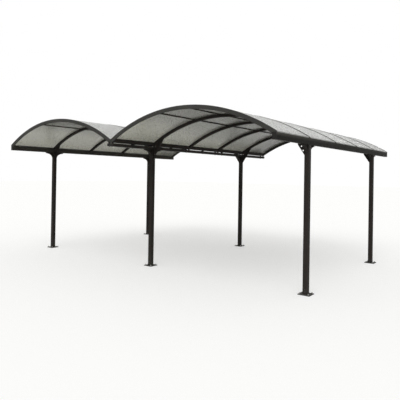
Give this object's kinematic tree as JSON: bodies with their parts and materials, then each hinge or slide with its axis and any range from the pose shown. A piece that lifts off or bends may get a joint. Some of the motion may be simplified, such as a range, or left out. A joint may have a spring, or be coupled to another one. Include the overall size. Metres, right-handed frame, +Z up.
{
  "type": "double vaulted carport",
  "caption": "Free-standing carport with two barrel-vault roofs side by side on slim posts, dark metal ribs and gutters, smoky translucent sheets, open on all sides.",
  "frame": {"origin": "ground level at the centre of the plan", "axes": "+X across the two vaults to the right, +Y along the vaults to the rear, +Z up"},
  "size_m": [6.18, 5, 2.6418],
  "materials": {
    "frame_coat": "dark bronze powder coat, satin",
    "foot_coat": "dark bronze powder coat, a little weathered",
    "roof_sheet": "smoky translucent polycarbonate",
    "cap_trim": "dark moulded caps"
  },
  "bodies": {
    "root": {"end_caps": "cap_trim", "left_cover_strips": "frame_coat", "left_eave_beam": "frame_coat", "left_front_arch": "frame_coat", "left_front_foot": "foot_coat", "left_front_post": "frame_coat", "left_front_post_head": "frame_coat", "left_purlins": "frame_coat", "left_rear_arch": "frame_coat", "left_rear_foot": "foot_coat", "left_rear_post": "frame_coat", "left_rear_post_head": "frame_coat", "left_rib_1": "frame_coat", "left_rib_2": "frame_coat", "left_rib_3": "frame_coat", "left_rib_4": "frame_coat", "left_roof_sheet_1": "roof_sheet", "left_roof_sheet_2": "roof_sheet", "left_roof_sheet_3": "roof_sheet", "left_roof_sheet_4": "roof_sheet", "left_roof_sheet_5": "roof_sheet", "middle_front_foot": "foot_coat", "middle_front_post": "frame_coat", "middle_front_post_head": "frame_coat", "middle_rear_foot": "foot_coat", "middle_rear_post": "frame_coat", "middle_rear_post_head": "frame_coat", "right_cover_strips": "frame_coat", "right_eave_beam": "frame_coat", "right_front_arch": "frame_coat", "right_front_foot": "foot_coat", "right_front_post": "frame_coat", "right_front_post_head": "frame_coat", "right_purlins": "frame_coat", "right_rear_arch": "frame_coat", "right_rear_foot": "foot_coat", "right_rear_post": "frame_coat", "right_rear_post_head": "frame_coat", "right_rib_1": "frame_coat", "right_rib_2": "frame_coat", "right_rib_3": "frame_coat", "right_rib_4": "frame_coat", "right_roof_sheet_1": "roof_sheet", "right_roof_sheet_2": "roof_sheet", "right_roof_sheet_3": "roof_sheet", "right_roof_sheet_4": "roof_sheet", "right_roof_sheet_5": "roof_sheet", "valley_gutter": "frame_coat", "valley_rail": "frame_coat", "valley_spacers": "frame_coat"}
  },
  "joints": []
}
